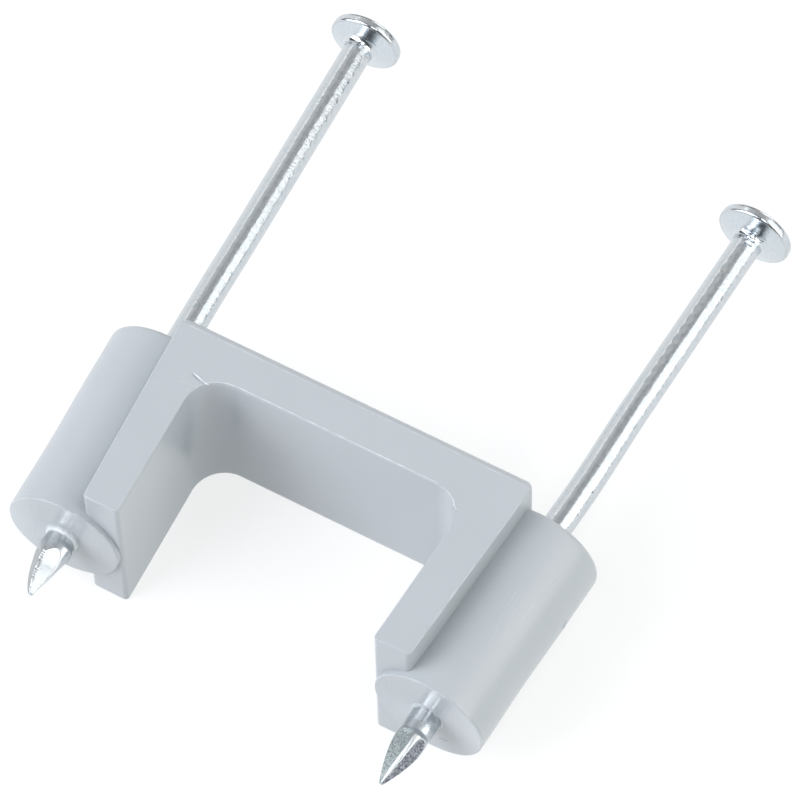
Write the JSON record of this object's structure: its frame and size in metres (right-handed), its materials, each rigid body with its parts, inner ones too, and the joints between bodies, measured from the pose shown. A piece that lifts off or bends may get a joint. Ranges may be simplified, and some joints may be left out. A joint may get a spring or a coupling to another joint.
{
  "type": "cable staple",
  "caption": "Plastic saddle that holds a cable flat against a stud, with a tubular boss moulded on each side and a wire nail standing in each boss, ready to be driven.",
  "frame": {"origin": "middle of the channel mouth on the wall plane, at the back face of the saddle", "axes": "+X across the saddle to the right nail, +Y away from the wall towards the nail heads, +Z along the cable from the back face to the front face"},
  "size_m": [0.036, 0.0486, 0.0119],
  "materials": {
    "moulding": "satin, light grey",
    "nail": "bright zinc plated"
  },
  "bodies": {
    "saddle": {"staple_body": "moulding"},
    "left_nail": {"nail_left": "nail"},
    "right_nail": {"nail_right": "nail"}
  },
  "joints": [
    {"name": "left_nail_drive", "type": "slide", "parent": "saddle", "child": "left_nail", "axis": [0.0393, -0.9992, 0], "range_m": [0, 0.0267]},
    {"name": "right_nail_drive", "type": "slide", "parent": "saddle", "child": "right_nail", "axis": [-0.0393, -0.9992, 0], "range_m": [0, 0.0258]}
  ]
}
